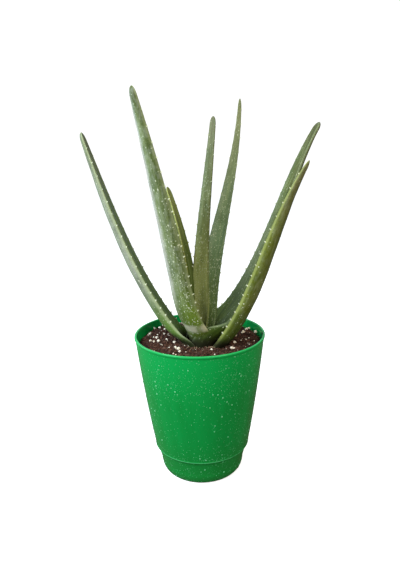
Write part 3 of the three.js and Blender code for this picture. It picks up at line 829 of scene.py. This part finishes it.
leaves = {
    "leaf_middle": {
        "facing": 60, "clasp": 4.5, "foot": 141, "length": 204, "lean": (-7, 11.4, 11.3),
        "width": (21, 12, 5), "thick": 0.42, "roll": 3, "teethFrom": 62,
        "outer": ((92, 102, 56), (96, 106, 58), (104, 116, 74)),
        "inner": ((88, 92, 44), (87, 95, 43), (118, 130, 92)),
        # the pale base is partly the paler young base and partly painted light where the crown shades it
        "base": (176, 182, 116), "baseReach": (50, 122), "tip": (94, 90, 56), "tipFrom": 0.7,
        "flecks": 0.9, "rimTone": (78, 86, 42),
    },
    "leaf_middle_right": {
        "facing": 45, "clasp": 6.1, "foot": 138.5, "length": 226.8, "lean": (2.1, 19.6, 3.1),
        "width": (24.9, 12.7, 2.2), "thick": 0.47, "fleshing": 20, "roll": 50, "twist": 1.3,
        "outer": ((84, 102, 64), (88, 108, 66), (96, 116, 74)),
        "inner": ((88, 114, 82), (103, 131, 92), (122, 146, 114)),
        "base": (88, 104, 56), "baseReach": (20, 100), "tip": (130, 129, 90), "tipFrom": 0.4,
        "flecks": 0.8, "rim": 0.15, "rimTone": (150, 164, 124),
    },
    "leaf_left_back": {
        "facing": 150, "clasp": 7.7, "foot": 138, "length": 145.5, "lean": (-8.5, 10.2, 21),
        "width": (18, 12, 6), "thick": 0.42, "flare": 4, "teethFrom": 60,
        "outer": ((84, 100, 54), (80, 98, 48), (88, 102, 56)),
        "inner": ((76, 88, 36), (68, 84, 28), (80, 94, 36)),
        "base": (60, 76, 24), "baseReach": (4, 30), "tip": (130, 138, 78), "tipFrom": 0.5,
        "flecks": 0.1, "dust": 0.1, "fleckTop": 0.3, "rimTone": (176, 180, 104),
    },
    "leaf_left": {
        "facing": 218, "clasp": 9.1, "foot": 136.5, "length": 230.3, "lean": (9.9, 13.3, 16.4),
        "width": (28, 24.5, 9), "thick": 0.45, "flare": 12, "flareReach": 26, "opening": 18,
        "roll": -9, "twist": -9, "teethFrom": 24,
        # the pale outer tone at margin -1, with the strong bloom on that side, is waxy bloom and painted
        # sheen from the light on the left
        "outer": ((212, 204, 192), (121, 133, 88), (72, 86, 36)),
        "inner": ((84, 102, 50), (68, 88, 36), (78, 94, 40)),
        "base": (100, 122, 28), "baseReach": (24, 76), "tip": (88, 92, 48), "tipFrom": 0.85,
        "bloom": 0.7, "flecks": 0.9, "papery": 0.8, "fade": (-0.05, 0.4, 0.5, 0.95),
        "rim": 0.35, "rimTone": (168, 180, 132),
    },
    "leaf_right_back": {
        "facing": 28, "clasp": 12.2, "foot": 127.5, "length": 246, "lean": (55.8, 25.7, 37.2),
        "width": (36, 21.4, 9), "thick": 0.43, "flare": 36, "flareReach": 24, "opening": 40, "hug": 7,
        "fleshing": 20, "twist": -9,
        "outer": ((78, 90, 46), (80, 94, 48), (88, 102, 58)),
        "inner": ((76, 78, 28), (90, 98, 44), (112, 122, 82)),
        "base": (50, 66, 12), "baseReach": (46, 104), "tip": (74, 72, 37), "tipFrom": 0.65,
        "flecks": 0.25, "dust": 0.25, "rim": 0.5, "rimTone": (150, 164, 124),
    },
    "leaf_far_left": {
        "facing": 170, "clasp": 13.8, "foot": 129.5, "length": 220.5, "lean": (40.2, 22.9, 18.2),
        "width": (22, 20, 8), "thick": 0.44, "flare": 20, "flareReach": 12, "opening": 30,
        "fleshing": 16, "roll": 7, "twist": -2, "teethFrom": 26,
        # the pale outer tone at margin +1 is waxy bloom and painted sheen from the light on the left
        "outer": ((88, 104, 58), (98, 112, 72), (156, 160, 142)),
        "inner": ((112, 134, 70), (72, 106, 30), (80, 112, 34)),
        # the bright green base is partly painted light on the inner face that the crown shades
        "base": (92, 130, 30), "baseReach": (26, 80), "tip": (90, 98, 58), "tipFrom": 0.6,
        "bloom": 0.4, "flecks": 0.2, "dust": 0.4, "fleckTop": 0.7, "rim": 0.65,
        "rimTone": (168, 178, 138),
    },
    "leaf_far_right": {
        "facing": -25, "clasp": 14.6, "foot": 123, "length": 198.5, "lean": (43.3, 21.1, 31.8),
        "width": (17, 19, 4.3), "thick": 0.47, "flare": 12, "fleshing": 11, "roll": -4.5, "twist": -2,
        "outer": ((104, 113, 34), (90, 97, 21), (80, 71, 17)),
        "inner": ((98, 107, 38), (78, 91, 22), (70, 77, 20)),
        "base": (50, 62, 4), "baseReach": (14, 70), "tip": (118, 112, 78), "tipFrom": 0.6,
        "bloom": 0.08, "flecks": 0.35, "dust": 0.25, "rimTone": (158, 166, 92),
    },
}


def throughThree(values, s):
    # the quadratic through three values at s = 0, 0.5 and 1
    first, middle, last = values
    return first + (4 * middle - 3 * first - last) * s + 2 * (first - 2 * middle + last) * s * s


def leafSpine(leaf, along):
    # the middle line is the running sum of d = (sin lean cos facing, sin lean sin facing, cos lean);
    # lean grows from upright at the clasping base, and "across" is the level side turned about d
    length, facing = leaf["length"], math.radians(leaf["facing"])
    steps = round(length / blade["spineStep"])
    walked = np.linspace(0, length, steps + 1)

    def direction(distance):
        settled = 1 - np.exp(-distance / leaf["hug"])
        lean = np.radians(throughThree(leaf["lean"], distance / length)) * settled
        return polar(np.sin(lean), facing, np.cos(lean))

    d = direction(walked)
    start = polar(leaf["clasp"], facing, leaf["foot"]) + [0, crownY, 0]
    line = np.concatenate([[[0, 0, 0]], np.cumsum((d[1:] + d[:-1]) / 2 * (length / steps), 0)]) + start
    centre = np.stack([np.interp(along, walked, line[:, i]) for i in range(3)], -1)
    d = direction(along)
    side = np.array([-math.sin(facing), math.cos(facing), 0.0])
    settled = 1 - np.exp(-along / blade["rollReach"])
    roll = np.radians(leaf["roll"] + leaf["twist"] * along / length) * settled
    across = side * np.cos(roll)[:, None] + np.cross(d, side) * np.sin(roll)[:, None]
    return centre, d, across, np.cross(d, across)


def toothPlaces(leaf, margin):
    # distances along one margin, wider apart towards the tip; the two margins are out of step
    places = []
    along = leaf["teethFrom"] + (teeth["baseSpacing"] / 2 if margin > 0 else 0)
    while along < leaf["length"] - teeth["lastBefore"]:
        places.append(along)
        along += teeth["baseSpacing"] + (teeth["tipSpacing"] - teeth["baseSpacing"]) * along / leaf["length"]
    return np.array(places)


def leafSection(leaf, along, u, inner, phase=0.0):
    # local x across and y inward of the point at u on one face: the middle sheet is an arc of the
    # section's curvature, each face stands off it by its share of half an ellipse, and the outer
    # one ripples by a sum of sines
    length = leaf["length"]
    past = np.clip((along - (length - blade["blunt"])) / blade["blunt"], 0, 1)
    tip = np.sqrt(1 - past * past)
    body = throughThree(leaf["width"], along / length) * tip
    width = body + leaf["flare"] * np.exp(-(along / leaf["flareReach"]) ** 2)
    for margin in (-1, 1):
        fromTooth = along[..., None] - toothPlaces(leaf, margin)
        near = np.exp(-(fromTooth / blade["swellReach"]) ** 2).sum(-1)
        width = width + np.where(u * margin > 0, blade["marginSwell"] * near * u * u, 0)
    closed = np.exp(-along / leaf["opening"])
    channel = 2 * blade["channel"] / np.maximum(width, blade["leastWidth"])
    curve = closed / leaf["clasp"] + channel * (1 - closed)
    angle = u * width * curve / 2
    fleshed = 1 - np.exp(-(along / leaf["fleshing"]) ** 2)
    thickest = blade["sheath"] * tip * (1 - fleshed) + body * leaf["thick"] * fleshed
    edge = blade["edge"] * tip
    thickness = edge + np.maximum(0, thickest - edge) * np.sqrt(np.clip(1 - u * u, 0, 1))
    ripple = (np.sin(along / 9 + phase + 2.5 * u) + 0.7 * np.sin(along / 4.1 - phase)
              + 0.5 * np.sin(9 * u + phase)) * blade["ripple"] * tip * (1 - u * u)
    onOuter = blade["outerShare"] * thickness
    offset = np.where(inner, thickness - onOuter, -onOuter - ripple)
    x = np.sin(angle) / curve - np.sin(angle) * offset
    y = (1 - np.cos(angle)) / curve + np.cos(angle) * offset
    return x, y, width


def leafSurface(leaf, phase):
    # grid of rows along the leaf and one closed loop of columns: outer face, margin, inner face, margin
    length = leaf["length"]
    straight = length - blade["blunt"]
    body = np.linspace(0, straight, round(straight / blade["rowStep"]))
    cap = straight + blade["blunt"] * np.sin(np.linspace(0, np.pi / 2, blade["capRows"]))[1:-1]
    along = np.concatenate([body, cap])
    centre, _, across, inward = leafSpine(leaf, along)
    n = blade["facePoints"]
    faceU = -np.cos(np.linspace(0, np.pi, n + 1))
    u = np.concatenate([faceU, [1.0], faceU[::-1], [-1.0]])
    inner = np.concatenate([np.zeros(n + 1), [0.5], np.ones(n + 1), [0.5]])
    grid = np.broadcast_to(along[:, None], (len(along), len(u)))
    xIn, yIn, width = leafSection(leaf, grid, u[None], True, phase)
    xOut, yOut, _ = leafSection(leaf, grid, u[None], False, phase)
    past = np.clip((grid - straight) / blade["blunt"], 0, 1)
    rounding = blade["marginRound"] * np.sqrt(1 - past * past)
    tangent = np.stack([xIn - xOut, yIn - yOut], -1)
    tangent /= np.maximum(np.linalg.norm(tangent, axis=-1, keepdims=True), 1e-9)
    outwardX, outwardY = u * tangent[..., 1], -u * tangent[..., 0]
    cases = [inner == 0.5, inner == 1]
    x = np.select(cases, [(xIn + xOut) / 2 + rounding * outwardX, xIn], xOut)
    y = np.select(cases, [(yIn + yOut) / 2 + rounding * outwardY, yIn], yOut)
    points = centre[:, None] + x[..., None] * across[:, None] + y[..., None] * inward[:, None]
    rows, columns = points.shape[:2]
    tipPoint = leafSpine(leaf, np.array([length]))[0]
    quads = gridQuads(rows, columns)
    k = np.arange(n)
    base = np.stack([k, 2 * n + 2 - k, 2 * n + 1 - k, k + 1], -1)
    ring, end = np.arange(columns), rows * columns
    tris = np.concatenate([[[n, n + 2, n + 1], [0, 2 * n + 3, 2 * n + 2]], fan(end - columns + ring, end)])
    place = np.concatenate([xyz(u * width / 2, grid, inner).reshape(-1, 3), [[0, length, 0]]])
    share = np.concatenate([xyz(u, grid / length, 0.0).reshape(-1, 3), [[0, 1, 0]]])
    points = np.concatenate([points.reshape(-1, 3), tipPoint])
    return points, np.concatenate([quads, base]), tris, place, share


def toothShape():
    # a flattened cone as (outward, along, across) points: its rings shrink by (1 - t)^taper and lean
    # towards the leaf's tip by t^2, with the apex last
    t = np.linspace(0, 1, teeth["rings"] + 1)[:-1, None]
    ring = circle(teeth["sides"])
    shrink = (1 - t) ** teeth["taper"]
    grid = xyz(-teeth["sunk"] + (teeth["height"] + teeth["sunk"]) * t,
               teeth["root"] * shrink * np.cos(ring) + teeth["lean"] * t * t,
               teeth["thick"] * shrink * np.sin(ring))
    return np.concatenate([grid.reshape(-1, 3), [[teeth["height"], teeth["lean"], 0]]])


def leafTeeth(leaf, rng):
    # one tooth at each place on both margins, pointing out from the middle of the margin's thickness
    shape, length = toothShape(), leaf["length"]
    parts = []
    for margin in (-1, 1):
        along = toothPlaces(leaf, margin)
        centre, d, across, inward = leafSpine(leaf, along)
        u = np.full_like(along, margin)

        def middleAt(uHere):
            xIn, yIn, _ = leafSection(leaf, along, uHere, True)
            xOut, yOut, _ = leafSection(leaf, along, uHere, False)
            return centre + (xIn + xOut)[:, None] / 2 * across + (yIn + yOut)[:, None] / 2 * inward

        onMargin = middleAt(u)
        outward = unit(onMargin - middleAt(u * teeth["inset"]))
        size = rng.uniform(*teeth["size"], len(along)) * (1 - teeth["tipLoss"] * (along / length) ** 2)
        scale = xyz(size, size, size)
        parts.append((placedOn(onMargin, shape, scale, outward, d, np.cross(d, outward)), along, u))
    points, along, u = (np.concatenate(part) for part in zip(*parts))
    sides, rings = teeth["sides"], teeth["rings"]
    end = rings * sides
    tris = np.concatenate([fan(end - sides + np.arange(sides), end), lid(0, sides, flip=True)])
    paleness = np.repeat(np.linspace(teeth["paleFrom"], 1, rings), sides)
    tooth = np.tile(np.concatenate([paleness, [1]]), len(points))
    along, u = (np.repeat(values, len(shape)) for values in (along, u))
    place = xyz(u * throughThree(leaf["width"], along / length) / 2, along, 0.0)
    share = xyz(u, along / length, tooth)
    return *copies(shape, gridQuads(rings, sides), tris, points), place, share


def leafPiece(name, leaf, index):
    rng = np.random.default_rng(teeth["seed"] + index)
    points, quads, tris, place, share = leafSurface(leaf, blade["phaseStep"] * index)
    toothPoints, toothQuads, toothTris, toothPlace, toothShare = leafTeeth(leaf, rng)
    shift = len(points)
    joined = [np.concatenate(pair) for pair in (
        (points, toothPoints), (quads, toothQuads + shift), (tris, toothTris + shift),
        (place, toothPlace), (share, toothShare))]
    return newPiece("aloe_" + name, *joined[:3], {"bladePlace": joined[3], "bladeShare": joined[4]})


# scales are across and along the leaf per millimetre; a band is where it starts and ends, and the
# shares that it has there when they aren't 0 and 1
skin = {
    "streak": {"scale": (0.55, 0.035, 1), "noise": (4.0, 0.6, 0.3), "band": (0.4, 0.66, 0.0, 0.32),
               "relief": 0.6, "tone": (154, 166, 114), "toneAtBase": (116, 136, 46)},
    "patch": {"scale": (0.12, 0.05, 1), "noise": (3.0,), "band": (0.42, 0.68, 0.0, 0.4),
              "tone": (56, 76, 30)},
    "mottle": {"scale": (1.3, 0.8, 1), "noise": (2.0,), "band": (0.46, 0.64, 0.0, 0.3),
               "tone": (52, 72, 32)},
    "wax": {"scale": (0.45, 0.12, 1), "noise": (6.0, 0.72), "band": (0.42, 0.62), "share": 0.8,
            "along": (24, 64), "across": (0.3, -0.2, 0.3, 1.3), "tone": (204, 208, 196)},
    "fibre": {"scale": (2.4, 0.5, 1), "noise": (3.0,), "relief": 0.25},
    "fleck": {"scale": (0.56, 0.27, 1), "least": 0.14, "spread": 0.16, "edge": (0.0, 0.06),
              "fewest": 0.12, "mostBelow": 0.25, "share": 0.85, "onInner": (0.0, 1.0, 1.0, 0.45),
              "relief": 0.35, "tone": (212, 216, 184)},
    "dust": {"scale": (0.9, 0.6, 1), "least": 0.14, "spread": 0.22, "edge": (-0.03, 0.12),
             "fewest": 0.1, "higher": 0.2, "share": (0.35, 0.4), "tone": (206, 214, 180)},
    "shift": (31.0, 17.0), "faceGap": 40, "endShare": 0.85, "flankEnd": (-0.45, -0.7), "flankShare": 0.2,
    "rimBand": (0.93, 1.0), "tooth": (226, 228, 196), "paper": (214, 208, 180), "paperBand": (0.3, 0.6),
    "collarTop": (23, 19), "collarFoot": (11, 15), "darkNearSoilScale": 350.0, "darkNearSoilRagged": 0.004,
    # darker, nearly black, low down towards the soil
    "darkNearSoil": {"band": (0.152, 0.139, 0.0, 0.92), "tone": (28, 26, 19)},
    "smoothest": 0.3, "waxRoughness": 0.22, "bump": (0.35, 0.0005),
}


def acrossTones(u, tones, fade):
    left = mixed(band(u, *fade[:2]), *tones[:2])
    return mixed(band(u, *fade[2:]), left, tones[2])


def skinNoise(place, look):
    return noise(stretched(place, look["scale"]), 1.0, *look["noise"])


def skinSpots(place, look, odds):
    # a spot of random size in each random cell whose luck is below the odds
    cells = addNode("ShaderNodeTexVoronoi", {
        "Vector": stretched(place, look["scale"]), "Scale": 1.0, "Randomness": 1.0}).outputs
    luck = addNode("ShaderNodeSeparateColor", {0: cells["Color"]}).outputs
    size = plus(times(luck[1], look["spread"]), look["least"])
    depth = maths("SUBTRACT", size, cells["Distance"])
    return times(band(depth, *look["edge"]), maths("LESS_THAN", luck[0], odds))


def leafMaterial(name, leaf, index):
    # tones across each face, whose pale outer margins on two leaves are partly painted sheen, then the
    # base, partly painted light on some leaves, and the tip, light streaks, dark patches and mottling, a
    # waxy bloom on the outer face, pale lens-shaped flecks and finer dust, pale hard margins and teeth, a
    # papery collar near the base and below it a ragged darkening to nearly black low down by the soil
    material, sockets = newMaterial("skin_" + name, IOR=1.42, Specular_IOR_Level=0.2)
    place = attribute("bladePlace", "Vector")
    onBlade = axisParts(place)
    shares = axisParts(attribute("bladeShare", "Vector"))
    along, inner = onBlade["Y"], onBlade["Z"]
    u, s, tooth = shares["X"], shares["Y"], shares["Z"]
    shift = (skin["shift"][0] * index, skin["shift"][1] * index, 0)
    shifted = addNode("ShaderNodeVectorMath", {0: place, 1: shift}, operation="ADD").outputs[0]
    pattern = stretched(shifted, (1, 1, skin["faceGap"]))
    streak, patch, mottle, wax, fibre = (skinNoise(pattern, skin[kind])
                                         for kind in ("streak", "patch", "mottle", "wax", "fibre"))

    # on two leaves the pale outer margin tone is partly painted sheen
    outerTone = acrossTones(u, leaf["outer"], leaf["fade"])
    flankEnd = band(u, *skin["flankEnd"], 0.0, leaf["bloom"] + skin["flankShare"])
    outerTone = mixed(flankEnd, outerTone, leaf["outer"][1])
    tone = mixed(inner, outerTone, acrossTones(u, leaf["inner"], leaf["fade"]))
    # the base tone; on some leaves it is partly painted light where the crown shades the base
    full, gone = leaf["baseReach"]
    nearBase = band(along, gone, full, 0.0, skin["endShare"])
    nearTip = band(s, leaf["tipFrom"], 1.0, 0.0, skin["endShare"])
    tone = mixed(nearBase, tone, leaf["base"])
    tone = mixed(nearTip, tone, leaf["tip"])

    look = skin["streak"]
    streakTone = mixed(nearBase, look["tone"], look["toneAtBase"])
    tone = mixed(band(streak, *look["band"]), tone, streakTone)
    for value, look in ((patch, skin["patch"]), (mottle, skin["mottle"])):
        tone = coated(tone, value, look)

    look = skin["wax"]
    bloom = times(band(wax, *look["band"]), leaf["bloom"] * look["share"],
                  maths("SUBTRACT", 1.0, inner), band(along, *look["along"]),
                  band(u, *look["across"]), clamp=True)
    tone = mixed(bloom, tone, look["tone"])

    look, top = skin["fleck"], leaf["fleckTop"]
    odds = band(s, top, top * look["mostBelow"], look["fewest"], leaf["flecks"])
    fleck = times(skinSpots(pattern, look, odds), band(inner, *look["onInner"]))
    tone = mixed(times(fleck, look["share"]), tone, look["tone"])

    look, dusty = skin["dust"], leaf["dust"]
    odds = band(s, top + look["higher"], 0.0, look["fewest"] * dusty, dusty)
    share = look["share"][0] + look["share"][1] * dusty
    tone = mixed(times(skinSpots(pattern, look, odds), share), tone, look["tone"])

    nearMargin = band(maths("ABSOLUTE", u), *skin["rimBand"], 0.0, leaf["rim"])
    tone = mixed(nearMargin, tone, leaf["rimTone"])
    tone = mixed(tooth, tone, skin["tooth"])
    papery = times(band(patch, *skin["paperBand"], 0.0, leaf["papery"]),
                   band(along, *skin["collarTop"]), band(along, *skin["collarFoot"]))
    tone = mixed(papery, tone, skin["paper"])
    # a ragged darkening to nearly black low down towards the soil
    inPot = objectPlace()
    ragged = times(noise(inPot, skin["darkNearSoilScale"], 3.0), skin["darkNearSoilRagged"])
    level = plus(axisParts(inPot)["Z"], ragged)
    tone = coated(tone, level, skin["darkNearSoil"])
    link(tone, sockets["Base Color"])

    gloss = plus(times(wax, skin["waxRoughness"]), skin["smoothest"])
    link(gloss, sockets["Roughness"])
    streak, fibre, fleck = (times(value, skin[kind]["relief"]) for value, kind in
                            ((streak, "streak"), (fibre, "fibre"), (fleck, "fleck")))
    bumped(sockets, plus(plus(streak, fibre), fleck), *skin["bump"])
    return material


for leafIndex, (leafName, ownShape) in enumerate(leaves.items()):
    thisLeaf = {**usualLeaf, **ownShape}
    piece = leafPiece(leafName, thisLeaf, leafIndex)
    finishPiece(piece, leafMaterial(leafName, thisLeaf, leafIndex), "leaf", leafName)
    print("leaf done:", leafName)


stem = {
    "sides": 64,
    "outline": [[0, 106], [4.5, 106, 1.5], [7.5, 118, 4], [8.6, 129, 4], [8.2, 134, 3], [5.4, 139, 2],
                [3.3, 143, 2], [2.6, 152, 1.5], [0, 155]],
    "scar": 0.25, "scarSpacing": 3.2, "thinnest": 0.3, "mottleCell": 2.5, "mottleSeed": 7,
    "look": {"dark": (38, 34, 22), "light": (96, 88, 58), "roughness": 0.8, "grain": 300, "bump": 0.5},
}

rootlets = {
    "count": 14, "seed": 83, "from": 11.5, "facing": (195, 345), "spread": 0.5, "length": (5, 15),
    "radius": (0.15, 0.32), "bend": 1.0, "rise": (0.3, 1.2), "steps": 12, "sides": 5,
    "look": {"dark": (120, 98, 72), "light": (176, 150, 120), "roughness": 0.8, "grain": 400, "bump": 0.3},
}


def stemPiece():
    # a turned outline whose radius ripples with height where old leaves were joined
    outline = softened(stem["outline"], 6)
    parts = [np.linspace(a, b, 5, endpoint=False) for a, b in zip(outline[:-1], outline[1:])]
    fine = np.concatenate(parts + [outline[-1:]])
    fine[1:-1, 0] += stem["scar"] * np.sin(fine[1:-1, 1] * 2 * np.pi / stem["scarSpacing"])
    fine[1:-1, 0] = np.maximum(fine[1:-1, 0], stem["thinnest"])
    points, quads, tris = turned(fine, stem["sides"])
    shade = latticeNoise(points[:, 0], points[:, 2], stem["mottleCell"], stem["mottleSeed"]) * 0.5 + 0.5
    return newPiece("aloe_stem", points + [0, crownY, 0], quads, tris, {"shade": shade})


def rootletPiece():
    # dry threads that leave the crown at the front and lie over the soil
    rng = np.random.default_rng(rootlets["seed"])
    count = rootlets["count"]
    angle = np.radians(rng.uniform(*rootlets["facing"], count))
    starts = polar(rootlets["from"], angle) + [0, crownY]
    heading = angle + rng.normal(0, rootlets["spread"], count)
    return strands("rootlets", starts, heading, rng.uniform(*rootlets["length"], count),
                   rng.uniform(*rootlets["radius"], count), rng.normal(0, rootlets["bend"], count),
                   rng.uniform(*rootlets["rise"], count), rootlets["steps"], rootlets["sides"])


finishPiece(stemPiece(), shadedMaterial("stemBark", **stem["look"]), "stem", "stem")
finishPiece(rootletPiece(), shadedMaterial("dryRoot", **rootlets["look"]), "stem")
print("stem done")
